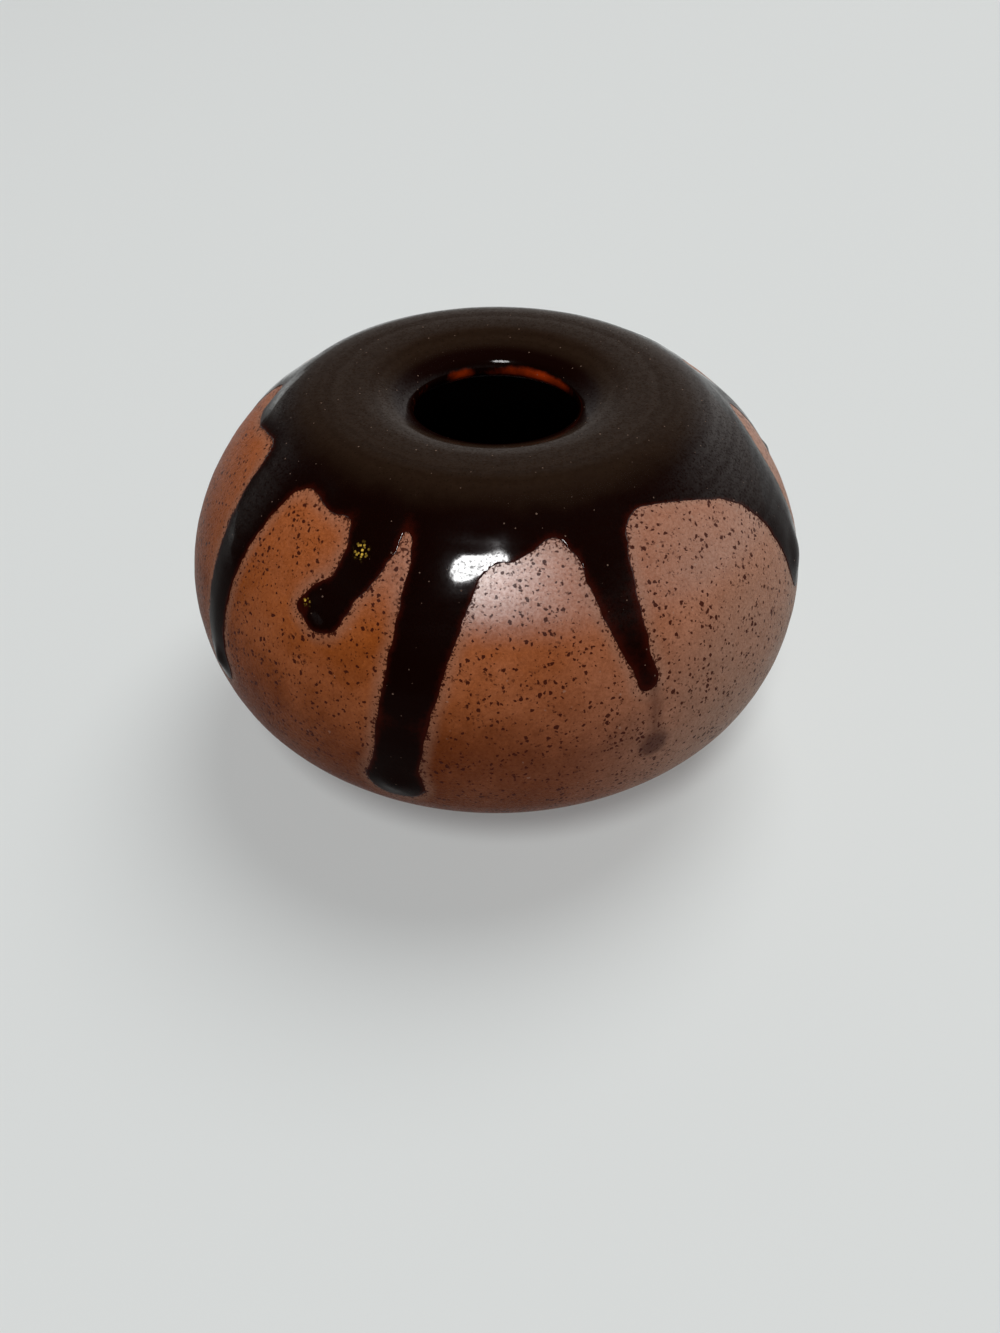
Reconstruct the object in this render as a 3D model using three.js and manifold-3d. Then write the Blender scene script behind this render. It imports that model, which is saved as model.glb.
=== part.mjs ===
// A wheel-thrown weed pot: a squat clay vessel whose wall rolls in to a sunken mouth, with a
// speckled base glaze, a dark glaze poured over its top that ran down the sides, and a liner glaze.
// Millimetres and degrees. The pot is round about Z and stands on z = 0. Azimuth 0 faces -Y and
// grows towards +X.

import * as THREE from 'three';
import { mergeVertices } from 'three/addons/utils/BufferGeometryUtils.js';
import Module from 'manifold-3d';

const wasm = await Module();
wasm.setup();

const { lerp, clamp, smoothstep, degToRad } = THREE.MathUtils;

// Foot
const FOOT_RADIUS = 26;
const FOOT_HEIGHT = 3;
const FOOT_RING_WIDTH = 6;
const FOOT_RECESS = 1.6;
const FOOT_CHAMFER = 0.8;

// Wall
const BELLY_RADIUS = 51.6;
const BELLY_HEIGHT = 31;
const CREST_RADIUS = 26.4;
const CREST_HEIGHT = 61.35;
const WALL = 5;
const FLOOR = 5.5;

// Lip: the wall's round end, inside and a little below the crest
const MOUTH_RADIUS = 13.8;
const LIP_THICKNESS = 2.6;
const LIP_DROP = 3.05;

// Slopes of the wall, from the horizontal, as it leaves the foot and as it reaches the lip
const FOOT_SLOPE = 32;
const LIP_SLOPE = 31;

// Fullness of each curve's ends, as shares of the rise or the run between them
const FOOT_FULLNESS = 0.38;
const UNDER_BELLY_FULLNESS = 0.8;
const OVER_BELLY_FULLNESS = 0.45;
const SHOULDER_FULLNESS = 0.47;
const CRATER_FULLNESS = 0.2;
const LIP_FULLNESS = 0.37;

// Coats
const BARE_FOOT = 2;
const COAT_GAP = 0.1;
const SPECKLED_COAT = 0.3;
const LINER_COAT = 0.4;
const LINER_STOP = 1;

// Dark glaze: its line is measured down the outside from the crest
const DARK_GAP = 0.3;
const CAP_COAT = 0.5;
const RUN_COAT = 0.9;
const EDGE_RAMP = 3;
const GLAZE_LINE = 11.5;
const ARCH_BLEND = 7;
const DARK_END = 0.6;

// Runs: azimuth at the root and at the tip. The widths there and the length below the glaze line are
// shares of the belly's radius. The last six runs are on the back.
const RUNS = [
  { root: -58, tip: -56.5, rootWidth: 0.163, tipWidth: 0.112, length: 0.66 },
  { root: -24.5, tip: -31.5, rootWidth: 0.14, tipWidth: 0.128, length: 0.31 },
  { root: -10, tip: -17, rootWidth: 0.19, tipWidth: 0.147, length: 0.84 },
  { root: 21.5, tip: 25, rootWidth: 0.132, tipWidth: 0.078, length: 0.45 },
  { root: 71, tip: 73, rootWidth: 0.271, tipWidth: 0.174, length: 0.5 },
  { root: 103, tip: 102, rootWidth: 0.147, tipWidth: 0.109, length: 0.37 },
  { root: 127, tip: 129, rootWidth: 0.178, tipWidth: 0.136, length: 0.76 },
  { root: 156, tip: 155, rootWidth: 0.136, tipWidth: 0.097, length: 0.27 },
  { root: -173, tip: -171, rootWidth: 0.167, tipWidth: 0.124, length: 0.58 },
  { root: -141, tip: -143, rootWidth: 0.182, tipWidth: 0.14, length: 0.7 },
  { root: -109, tip: -108, rootWidth: 0.143, tipWidth: 0.105, length: 0.41 },
];

// Colour and roughness of each finish
const FINISHES = {
  stoneware_body: { color: 0xb89a7c, roughness: 0.9 },
  speckled_glaze: { color: 0xa0694d, roughness: 0.38 },
  dark_glaze: { color: 0x23100b, roughness: 0.15 },
  liner_glaze: { color: 0x1c0f0a, roughness: 0.3 },
};

// Facets
const SEGMENTS = 36;
const DARK_SEGMENTS = 104;
const WALL_STEPS = [1, 7, 8, 4, 5];
const INNER_STEPS = [4, 5, 2, 1];
const DARK_STEPS = [13, 18, 4, 5];
const FLOOR_SEARCH_STEP = 0.1;

// The outside of the clay from the foot, over the belly and the crest, to the underside of the lip
const lipRadius = LIP_THICKNESS / 2;
const lipCentre = new THREE.Vector2(MOUTH_RADIUS + lipRadius, CREST_HEIGHT - LIP_DROP);
const lipAngle = degToRad(90 + LIP_SLOPE);
const lipStart = lipCentre.clone().add(polar(lipRadius, lipAngle));
const footEdge = new THREE.Vector2(FOOT_RADIUS, FOOT_HEIGHT);
const bellyPoint = new THREE.Vector2(BELLY_RADIUS, BELLY_HEIGHT);
const crestPoint = new THREE.Vector2(CREST_RADIUS, CREST_HEIGHT);
const bellyRise = CREST_HEIGHT - BELLY_HEIGHT;
const bellyDrop = BELLY_HEIGHT - FOOT_HEIGHT;
const craterRun = CREST_RADIUS - lipStart.x;

const outside = new THREE.CurvePath();
outside.add(new THREE.CubicBezierCurve(
  footEdge,
  footEdge.clone().add(polar(FOOT_FULLNESS * (BELLY_RADIUS - FOOT_RADIUS), degToRad(FOOT_SLOPE))),
  new THREE.Vector2(BELLY_RADIUS, BELLY_HEIGHT - UNDER_BELLY_FULLNESS * bellyDrop),
  bellyPoint,
));
outside.add(new THREE.CubicBezierCurve(
  bellyPoint,
  new THREE.Vector2(BELLY_RADIUS, BELLY_HEIGHT + OVER_BELLY_FULLNESS * bellyRise),
  new THREE.Vector2(CREST_RADIUS + SHOULDER_FULLNESS * (BELLY_RADIUS - CREST_RADIUS), CREST_HEIGHT),
  crestPoint,
));
outside.add(new THREE.CubicBezierCurve(
  crestPoint,
  new THREE.Vector2(CREST_RADIUS - CRATER_FULLNESS * craterRun, CREST_HEIGHT),
  lipStart.clone().add(polar(LIP_FULLNESS * craterRun, degToRad(LIP_SLOPE))),
  lipStart,
));
outside.add(new THREE.EllipseCurve(
  lipCentre.x, lipCentre.y, lipRadius, lipRadius, lipAngle, lipAngle + Math.PI,
));

// Distances along that line
const [belly, crest, lip, underLip] = outside.getCurveLengths();
const linerTop = lip - LINER_STOP;
const floorTop = FOOT_RECESS + FLOOR;
const floorEdge = innerWallStart();
const wallStations = stations([0, BARE_FOOT, belly, crest, lip, underLip], WALL_STEPS);
const innerStations = stations([floorEdge, belly, crest, linerTop, lip], INNER_STEPS);

function polar(radius, angle) {
  return new THREE.Vector2(radius * Math.cos(angle), radius * Math.sin(angle));
}

// A point of the clay's outside, with the direction that faces away from the clay there
function stationAt(along) {
  const share = along / underLip;
  const tangent = outside.getTangent(share);
  return {
    along,
    point: outside.getPoint(share),
    normal: new THREE.Vector2(tangent.y, -tangent.x),
  };
}

function stations(marks, steps) {
  const list = [stationAt(marks[0])];
  steps.forEach((count, span) => {
    for (let i = 1; i <= count; i++) {
      list.push(stationAt(lerp(marks[span], marks[span + 1], i / count)));
    }
  });
  return list;
}

function offset(station, distance) {
  return station.point.clone().addScaledVector(station.normal, distance);
}

function wallThickness(station) {
  return lerp(WALL, LIP_THICKNESS, clamp((station.along - belly) / (lip - belly), 0, 1));
}

function innerPoint(station, gap) {
  return offset(station, -wallThickness(station) - gap);
}

// Where the inner wall, followed up from the foot, first clears the floor
function innerWallStart() {
  let along = 0;
  while (innerPoint(stationAt(along), 0).y < floorTop) {
    along += FLOOR_SEARCH_STEP;
  }
  return along;
}

// A closed section turned about the axis, with its height along Z
function turned(section, segments) {
  return new THREE.LatheGeometry(section, segments).rotateX(Math.PI / 2);
}

function band(list, near, far) {
  const outer = list.map((station) => offset(station, far));
  const inner = list.map((station) => offset(station, near)).reverse();
  return [...outer, ...inner, outer[0]];
}

// Clay: foot ring, outside wall, lip, inside wall and floor, with the outside grown if asked
function claySection(grow) {
  const ringInside = FOOT_RADIUS - FOOT_RING_WIDTH;
  const inner = innerStations.slice(0, -1).reverse();
  return [
    new THREE.Vector2(0, FOOT_RECESS),
    new THREE.Vector2(ringInside - FOOT_CHAMFER, FOOT_RECESS),
    new THREE.Vector2(ringInside, 0),
    new THREE.Vector2(FOOT_RADIUS - FOOT_CHAMFER, 0),
    new THREE.Vector2(FOOT_RADIUS, FOOT_CHAMFER),
    ...wallStations.map((station) => offset(station, grow(station))),
    ...inner.map((station) => innerPoint(station, 0)),
    new THREE.Vector2(0, floorTop),
  ];
}

function speckledSection() {
  const coated = wallStations.filter(({ along }) => along >= BARE_FOOT && along <= lip);
  return band(coated, COAT_GAP, COAT_GAP + SPECKLED_COAT);
}

function linerSection() {
  const coated = innerStations.slice(0, -1);
  const face = (gap) => coated.map((station) => innerPoint(station, gap));
  const top = COAT_GAP + LINER_COAT;
  return [
    new THREE.Vector2(0, floorTop + COAT_GAP),
    ...face(COAT_GAP),
    ...face(top).reverse(),
    new THREE.Vector2(0, floorTop + top),
  ];
}

// What lies between the clay and the dark glaze: the speckled coat, or bare clay round the lip
function underDark(station) {
  return station.along <= lip ? COAT_GAP + SPECKLED_COAT + DARK_GAP : DARK_GAP;
}

// How far inside a run's edge a point lies, with the run as a tapering band with a round tip
function depthInRun(run, reach, azimuth, radius) {
  const tipWidth = run.tipWidth * BELLY_RADIUS;
  const end = GLAZE_LINE + run.length * BELLY_RADIUS - tipWidth / 2;
  const share = clamp((reach - GLAZE_LINE) / (end - GLAZE_LINE), 0, 1);
  const turn = azimuth - lerp(run.root, run.tip, share);
  const aside = degToRad(THREE.MathUtils.euclideanModulo(turn + 180, 360) - 180) * radius;
  const past = Math.max(reach - end, 0);
  return lerp(run.rootWidth * BELLY_RADIUS, tipWidth, share) / 2 - Math.hypot(aside, past);
}

// The larger of two depths, with the corner between them rounded into an arch
function blended(a, b) {
  const overlap = Math.max(ARCH_BLEND - Math.abs(a - b), 0);
  return Math.max(a, b) + overlap ** 2 / (4 * ARCH_BLEND);
}

function darkHeight(station, azimuth) {
  const reach = crest - station.along;
  const depth = RUNS.reduce(
    (most, run) => blended(most, depthInRun(run, reach, azimuth, station.point.x)),
    GLAZE_LINE - reach,
  );
  const coat = lerp(CAP_COAT, RUN_COAT, smoothstep(reach, 0, GLAZE_LINE));
  return underDark(station) + coat * clamp(depth / EDGE_RAMP, -1, 1);
}

// A band over the whole outside whose surface rises above the coated pot only where the glaze lies
function darkBlank() {
  const list = stations([BARE_FOOT, belly, crest, lip, underLip - DARK_END], DARK_STEPS);
  const section = band(list, -lipRadius / 2, 0);
  const geometry = new THREE.LatheGeometry(section, DARK_SEGMENTS);
  const position = geometry.attributes.position;
  for (let i = 0; i < position.count; i++) {
    const place = i % section.length % (section.length - 1);
    if (place < list.length) {
      const azimuth = 360 * Math.floor(i / section.length) / DARK_SEGMENTS;
      const point = offset(list[place], darkHeight(list[place], azimuth));
      const angle = degToRad(azimuth);
      position.setXYZ(i, point.x * Math.sin(angle), point.y, point.x * Math.cos(angle));
    }
  }
  return geometry.rotateX(Math.PI / 2);
}

function solid(geometry) {
  geometry.deleteAttribute('normal');
  geometry.deleteAttribute('uv');
  const merged = mergeVertices(geometry);
  return new wasm.Manifold(new wasm.Mesh({
    numProp: 3,
    vertProperties: new Float32Array(merged.attributes.position.array),
    triVerts: new Uint32Array(merged.index.array),
  }));
}

function darkGeometry() {
  const coatedPot = solid(turned(claySection(underDark), SEGMENTS));
  const mesh = solid(darkBlank()).subtract(coatedPot).getMesh();
  const geometry = new THREE.BufferGeometry();
  geometry.setAttribute('position', new THREE.BufferAttribute(mesh.vertProperties, 3));
  geometry.setIndex(new THREE.BufferAttribute(mesh.triVerts, 1));
  return geometry;
}

const weedPot = new THREE.Group();

function addPart(name, geometry) {
  const mesh = new THREE.Mesh(geometry, new THREE.MeshStandardMaterial(FINISHES[name]));
  mesh.name = name;
  weedPot.add(mesh);
}

addPart('stoneware_body', turned(claySection(() => 0), SEGMENTS));
addPart('speckled_glaze', turned(speckledSection(), SEGMENTS));
addPart('dark_glaze', darkGeometry());
addPart('liner_glaze', turned(linerSection(), SEGMENTS));

export default weedPot;
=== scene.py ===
"""A squat weed pot: thrown stoneware, a speckled glaze, a dark glaze that runs over it, and a liner."""

import math
from typing import NamedTuple

import bmesh
import bpy
import numpy as np
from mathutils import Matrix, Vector, noise
from mathutils.geometry import interpolate_bezier


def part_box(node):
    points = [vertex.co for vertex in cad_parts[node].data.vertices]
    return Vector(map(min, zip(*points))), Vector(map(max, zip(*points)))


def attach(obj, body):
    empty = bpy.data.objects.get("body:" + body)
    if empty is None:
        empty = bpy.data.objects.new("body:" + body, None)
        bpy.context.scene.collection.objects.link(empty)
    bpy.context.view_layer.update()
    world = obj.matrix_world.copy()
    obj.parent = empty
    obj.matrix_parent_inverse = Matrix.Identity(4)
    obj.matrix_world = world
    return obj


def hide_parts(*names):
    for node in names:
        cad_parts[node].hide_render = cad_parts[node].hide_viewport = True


bl_info = {
    "name": "Weed Pot",
    "version": (1, 0, 0),
    "blender": (4, 5, 0),
    "location": "View3D > Sidebar > Weed Pot",
    "description": "Models a drip-glazed weed pot around its solid frame",
    "category": "Object",
}

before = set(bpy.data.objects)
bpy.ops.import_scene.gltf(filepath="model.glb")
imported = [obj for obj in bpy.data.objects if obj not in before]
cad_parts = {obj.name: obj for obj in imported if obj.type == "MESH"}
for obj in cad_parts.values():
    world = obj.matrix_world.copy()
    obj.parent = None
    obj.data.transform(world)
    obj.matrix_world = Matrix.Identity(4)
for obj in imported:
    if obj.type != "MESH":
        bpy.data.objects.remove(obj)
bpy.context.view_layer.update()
CLAY_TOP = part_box("stoneware_body")[1]
COAT_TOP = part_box("speckled_glaze")[1]
DARK_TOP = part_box("dark_glaze")[1]
MM = 0.001
# The dark crest stays this far under the top of the solids.
BOX_MARGIN = 0.02 * MM
# Points closer than this are one point.
TOUCHING = 0.001 * MM


def srgb(red, green, blue):
    """A colour read off a screen, from 0 to 255, as the linear colour that a shader takes."""
    shares = np.array((red, green, blue)) / 255
    linear = np.where(shares <= 0.04045, shares / 12.92, ((shares + 0.055) / 1.055) ** 2.4)
    return tuple(float(share) for share in linear)


def length(name, description, default):
    """A size that a user can change, in metres."""
    return bpy.props.FloatProperty(
        name=name, description=description, default=default, min=0.0, precision=5, unit="LENGTH"
    )


def colour(name, description, default):
    """A colour that a user can change."""
    return bpy.props.FloatVectorProperty(
        name=name, description=description, default=default, size=3, min=0.0, max=1.0, subtype="COLOR"
    )


class WEEDPOT_PG_sizes(bpy.types.PropertyGroup):
    """The pot's main sizes."""

    belly_radius: length("Belly radius", "Radius of the bare clay at its widest", CLAY_TOP.x)
    belly_height: length("Belly height", "Height of the widest place", 31 * MM)
    crest_radius: length("Crest radius", "Radius of the highest ring of the shoulder", 26.4 * MM)
    crest_height: length("Crest height", "Height of the bare clay", CLAY_TOP.z)
    mouth_radius: length("Mouth radius", "Radius of the hole in the bare clay", 13.8 * MM)
    lip_thickness: length("Lip thickness", "Thickness of the clay at the lip", 2.6 * MM)
    lip_drop: length("Lip drop", "How far the lip's centre lies under the crest", 3.05 * MM)
    foot_radius: length("Foot radius", "Outer radius of the foot ring", 26 * MM)
    foot_height: length("Foot height", "Height of the foot ring", 3 * MM)
    foot_ring: length("Foot ring", "Width of the ring that the pot stands on", 6 * MM)
    foot_recess: length("Foot recess", "Depth of the trimmed hollow under the pot", 1.6 * MM)
    wall: length("Wall", "Thickness of the clay at the belly and below", 5 * MM)
    floor: length("Floor", "Thickness of the clay under the inside", 5.5 * MM)
    coat: length("Speckled coat", "Thickness of the speckled glaze", COAT_TOP.x - CLAY_TOP.x)
    cap_coat: length(
        "Dark coat", "Thickness of the dark glaze on the crest", DARK_TOP.z - COAT_TOP.z - BOX_MARGIN
    )
    run_coat: length("Run coat", "Thickness of the dark glaze in its runs", 0.2 * MM)


class WEEDPOT_PG_colours(bpy.types.PropertyGroup):
    """The pot's and the stage's colours."""

    # Tan is partly the glaze's own colour and partly painted sheen on the right.
    tan: colour("Tan", "Pinkish colour of the speckled glaze", srgb(186, 128, 101))
    ochre: colour("Ochre", "Orange colour of the speckled glaze", srgb(184, 97, 40))
    # Umber serves only as painted shade: the belly is painted towards it low down and on the left.
    umber: colour("Umber", "Colour of the speckled glaze low on the belly", srgb(116, 54, 18))
    # Ash is also the colour of painted light: the paler right side of the belly and the pale sparkles on the
    # dark glaze's pinholes.
    ash: colour("Ash", "Colour of the speckled glaze where it is palest", srgb(176, 145, 127))
    iron: colour("Iron", "Colour of the specks", srgb(64, 22, 13))
    dark: colour("Dark", "Colour of the dark glaze where it is thick", srgb(18, 4, 2))
    # Olive is partly the crest glaze's own colour and partly a painted sheen.
    olive: colour("Olive", "Colour of the dark glaze on the crest", srgb(40, 27, 18))
    russet: colour("Russet", "Colour of the dark glaze where it is thin", srgb(56, 14, 6))
    # Amber is partly the glaze's colour where it breaks and partly a painted glow of light through the thin
    # glaze.
    amber: colour("Amber", "Colour of the dark glaze where it breaks on the lip", srgb(205, 66, 14))
    # Gold is a painted glint: the crystal spots are painted bright where light glints on them.
    gold: colour("Gold", "Colour of the crystals in the thin dark glaze", srgb(250, 205, 84))
    clay: colour("Clay", "Colour of the bare fired clay", srgb(196, 160, 128))
    liner: colour("Liner", "Colour of the glaze inside", srgb(34, 16, 11))
    table: colour("Table", "Colour of the floor that the pot stands on", srgb(193, 197, 196))


class Run(NamedTuple):
    """A run of dark glaze: azimuths in degrees, positive to the right, and the rest in millimetres."""

    azimuths: tuple
    widths: tuple
    end: float
    bead: float
    swell: float = 0.5
    flare: float = 4.0
    spread: float = 0.0
    sheer: float = 0.0


def tongue(azimuth, width, end, flare=4.0):
    """A short round swelling of the glaze line."""
    return Run((azimuth,) * 3, (width,) * 3, end, width, swell=0.0, flare=flare)


# Places on the outside are given by reach: the length down the clay from its crest, in millimetres,
# which is less than 0 in the crater round the mouth.
GLAZE_LINE = 9.2
LINE_WAVES = 5
LINE_WAVE_HEIGHT = 0.5
LINE_WAVE_START = 0.4
RUN_ROOT = 13.0
SPREAD_FADE = 4.0
BEAD_BLEND = 2.0
# From the left of the front to the right, then round the back, and last three swellings of the line.
RUNS = (
    Run((-59.0, -58.2, -56.0), (10.5, 6.8, 5.8), 43.0, 6.2),
    Run((-26.0, -27.2, -31.4), (7.6, 6.0, 6.0), 23.6, 6.8, swell=0.35, flare=2.0),
    Run((-35.3, -35.3, -35.3), (-9.0, -9.0, -9.0), 24.4, 2.6, swell=0.1, flare=0.6, sheer=0.4),
    Run((-9.2, -13.5, -16.7), (10.2, 7.9, 6.8), 49.4, 8.6, swell=0.4, flare=3.2),
    Run((21.9, 22.7, 25.2), (7.2, 5.6, 2.8), 32.4, 2.0, swell=0.0, flare=6.0, sheer=0.3),
    Run((72.5, 73.0, 74.0), (13.5, 12.6, 11.0), 33.0, 10.0, swell=0.4, spread=15.0),
    Run((103.0, 102.6, 102.0), (7.6, 6.0, 5.6), 28.0, 6.4),
    Run((127.0, 128.4, 129.0), (9.2, 7.2, 6.8), 47.0, 8.0, swell=0.7, flare=5.0),
    Run((156.0, 155.4, 155.0), (7.0, 5.2, 5.0), 23.0, 5.6),
    Run((187.0, 188.4, 189.0), (8.6, 6.6, 6.2), 38.0, 7.4, swell=0.6, flare=5.0),
    Run((219.0, 218.0, 217.0), (9.4, 7.4, 7.0), 44.0, 8.2, swell=0.7, flare=5.0),
    Run((251.0, 251.6, 252.0), (7.4, 5.6, 5.4), 30.0, 6.2),
    tongue(-87.0, 16.0, 3.2),
    tongue(-37.5, 7.0, 7.0, flare=3.0),
    tongue(2.4, 6.5, 9.4, flare=5.0),
)
# The faint trail under the run on the right.
TRAIL = Run((25.4, 25.8, 26.2), (2.4, 1.6, 1.6), 44.0, 4.6)
# Crops of gold crystals in the thin glaze, painted bright as glints of light: azimuth, reach and radius.
GLINT_CRYSTALS = ((-27.3, 14.6, 1.4), (-35.0, 23.8, 0.65))
# How many bumps of a glaze edge go to a millimetre, and how far they stand out.
RAGS = ((0.45, 0.3), (1.9, 0.1))
# The potter's finger grooves: depth, turns to a millimetre in radians, and start.
GROOVES = ((0.012, 2.1, 0.0), (0.014, 0.93, 1.0))


def three_point(share, root, middle, tip):
    """A smooth curve through three values, at shares 0, a half and 1."""
    return (
        root * (1 - share) * (1 - 2 * share)
        + middle * 4 * share * (1 - share)
        + tip * share * (2 * share - 1)
    )


def ease(value, low, high):
    """From 0 at low to 1 at high, flat at both ends."""
    share = np.clip((value - low) / (high - low), 0, 1)
    return share * share * (3 - 2 * share)


def soft_max(first, second, blend):
    """The larger of two values, rounded where they cross."""
    overlap = np.maximum(blend - np.abs(first - second), 0)
    return np.maximum(first, second) + overlap * overlap / (4 * blend)


def turn_between(azimuth, centre):
    """The signed turn from a centre in degrees to an azimuth, the short way round, in radians."""
    return (azimuth - np.radians(centre) + math.pi) % (2 * math.pi) - math.pi


def toward(angle):
    """A step of length 1 in a direction, in the outline's plane."""
    return Vector((math.cos(angle), math.sin(angle)))


def run_depth(run, azimuth, radius, reach):
    """How far inside a run's edge each place lies, and how far inside its bead, in millimetres."""
    share = np.clip((reach - RUN_ROOT) / max(run.end - RUN_ROOT, 1), 0, 1)
    past = np.maximum(reach - run.end, 0)
    aside = turn_between(azimuth, three_point(share, *run.azimuths)) * radius
    above = (RUN_ROOT - reach) / SPREAD_FADE
    spread = run.spread * (np.exp(np.minimum(above, 0)) + np.maximum(above, 0))
    width = three_point(share, *run.widths) + spread
    ribbon = width / 2 - np.hypot(aside, past)
    bead_aside = turn_between(azimuth, run.azimuths[2]) * radius
    bead = run.bead / 2 - np.hypot(bead_aside, reach - run.end)
    return soft_max(ribbon, bead, BEAD_BLEND), bead


def ragged(azimuth, radius, reach):
    """The unevenness of a glaze edge, in millimetres."""
    places = np.column_stack((azimuth * radius, reach, radius))
    return sum(
        height * np.array([noise.noise(Vector(place) * pitch) for place in places]) for pitch, height in RAGS
    )


def dark_depth(azimuth, radius, reach):
    """How far inside the dark glaze each place lies, in millimetres, and less than 0 outside it."""
    line = GLAZE_LINE + LINE_WAVE_HEIGHT * np.sin(LINE_WAVES * azimuth + LINE_WAVE_START)
    depth = line - reach
    for run in RUNS:
        depth = soft_max(depth, run_depth(run, azimuth, radius, reach)[0], run.flare)
    return depth + ragged(azimuth, radius, reach)


def throwing_rings(reach):
    """The faint grooves that a potter's fingers leave, in millimetres below the surface."""
    return sum(depth * (np.sin(pitch * reach + start) - 1) for depth, pitch, start in GROOVES)


class Section:
    """The clay's outside from the lip to the foot, as radii and heights, read by reach."""

    CURVE_POINTS = 160
    FOOT_SLOPE = math.radians(32)
    LIP_SLOPE = math.radians(31)
    FOOT_FULLNESS = 0.38
    UNDER_BELLY_FULLNESS = 0.8
    OVER_BELLY_FULLNESS = 0.45
    SHOULDER_FULLNESS = 0.47
    CRATER_FULLNESS = 0.2
    LIP_FULLNESS = 0.37

    def __init__(self, sizes):
        belly = Vector((sizes.belly_radius, sizes.belly_height))
        crest = Vector((sizes.crest_radius, sizes.crest_height))
        foot = Vector((sizes.foot_radius, sizes.foot_height))
        lip_radius = sizes.lip_thickness / 2
        lip = Vector((sizes.mouth_radius + lip_radius, sizes.crest_height - sizes.lip_drop))
        lip_angle = math.pi / 2 + self.LIP_SLOPE
        lip_start = lip + lip_radius * toward(lip_angle)
        inward = crest.x - lip_start.x
        after_lip = lip_start + self.LIP_FULLNESS * inward * toward(self.LIP_SLOPE)
        before_crest = crest - Vector((self.CRATER_FULLNESS * inward, 0))
        after_crest = crest + Vector((self.SHOULDER_FULLNESS * (belly.x - crest.x), 0))
        over_belly = belly + Vector((0, self.OVER_BELLY_FULLNESS * (crest.y - belly.y)))
        under_belly = belly - Vector((0, self.UNDER_BELLY_FULLNESS * (belly.y - foot.y)))
        before_foot = foot + self.FOOT_FULLNESS * (belly.x - foot.x) * toward(self.FOOT_SLOPE)
        sweep = np.linspace(lip_angle + math.pi, lip_angle, self.CURVE_POINTS)
        nose = [lip + lip_radius * toward(turn) for turn in sweep]
        crater = interpolate_bezier(lip_start, after_lip, before_crest, crest, self.CURVE_POINTS)
        shoulder = interpolate_bezier(crest, after_crest, over_belly, belly, self.CURVE_POINTS)
        under = interpolate_bezier(belly, under_belly, before_foot, foot, self.CURVE_POINTS)
        points = np.array([*nose[:-1], *crater[:-1], *shoulder[:-1], *under])
        along = np.concatenate(([0], np.cumsum(np.hypot(*np.diff(points, axis=0).T))))
        crest_place = along[len(nose) + len(crater) - 2]
        tangent = np.gradient(points, along, axis=0)
        tangent /= np.linalg.norm(tangent, axis=1)[:, None]
        self.points = points
        self.normals = np.column_stack((-tangent[:, 1], tangent[:, 0]))
        self.reach = along - crest_place
        self.lip_end = self.reach[0]
        self.foot_end = self.reach[-1]
        self.belly = self.reach[len(nose) + len(crater) + len(shoulder) - 3]
        self.wall = sizes.wall
        self.lip_thickness = sizes.lip_thickness

    def outline(self, reach, out):
        """Radius and height of each place that stands out from the clay at a reach."""
        point = [np.interp(reach, self.reach, self.points[:, axis]) for axis in (0, 1)]
        normal = [np.interp(reach, self.reach, self.normals[:, axis]) for axis in (0, 1)]
        return np.column_stack((point[0] + out * normal[0], point[1] + out * normal[1]))

    def place(self, azimuth, reach, out):
        """Coordinates of each place that stands out from the clay at an azimuth and a reach."""
        radius, height = self.outline(reach, out).T
        return np.column_stack((radius * np.sin(azimuth), -radius * np.cos(azimuth), height))

    def inside(self, reach, out):
        """Radius and height on the inner wall, which thins from the belly up to the lip."""
        share = np.clip((reach - self.lip_end) / (self.belly - self.lip_end), 0, 1)
        thickness = self.lip_thickness + (self.wall - self.lip_thickness) * share
        return self.outline(reach, out - thickness)


def lathe(bm, outline, steps, closed=False, reach=(), cuts=0):
    """Turns an outline of radii and heights once round the pot's axis, then cuts each step finer."""
    reach_layer = bm.verts.layers.float.new("reach")
    radius_layer = bm.verts.layers.float.new("radius")
    verts = [bm.verts.new((0, -radius, height)) for radius, height in outline]
    for vert, along in zip(verts, reach):
        vert[reach_layer] = along
    for vert, (radius, _) in zip(verts, outline):
        vert[radius_layer] = radius
    followers = verts[1:] + verts[:1] if closed else verts[1:]
    edges = [bm.edges.new(pair) for pair in zip(verts, followers)]
    bmesh.ops.spin(
        bm,
        geom=verts + edges,
        axis=(0, 0, 1),
        cent=(0, 0, 0),
        angle=2 * math.pi,
        steps=steps,
        use_merge=True,
    )
    bmesh.ops.remove_doubles(bm, verts=bm.verts, dist=TOUCHING)
    if cuts:
        hoops = [edge for edge in bm.edges if is_hoop(edge)]
        bmesh.ops.subdivide_edges(bm, edges=hoops, cuts=cuts, use_grid_fill=True)
        for vert in bm.verts:
            vert.co.xy *= vert[radius_layer] / vert.co.xy.length
    bmesh.ops.recalc_face_normals(bm, faces=bm.faces)


def is_hoop(edge):
    """Whether an edge of a turned shape runs round the axis."""
    first, second = (vert.co for vert in edge.verts)
    wider = abs(first.xy.length - second.xy.length)
    return wider < TOUCHING and abs(first.z - second.z) < TOUCHING


def surface_places(bm, verts):
    """Azimuth, radius and reach of each vertex, the last two in millimetres."""
    layer = bm.verts.layers.float["reach"]
    points = np.array([vert.co for vert in verts])
    azimuth = np.arctan2(points[:, 0], -points[:, 1])
    reach = np.array([vert[layer] for vert in verts])
    return azimuth, np.hypot(points[:, 0], points[:, 1]) / MM, reach


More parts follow.
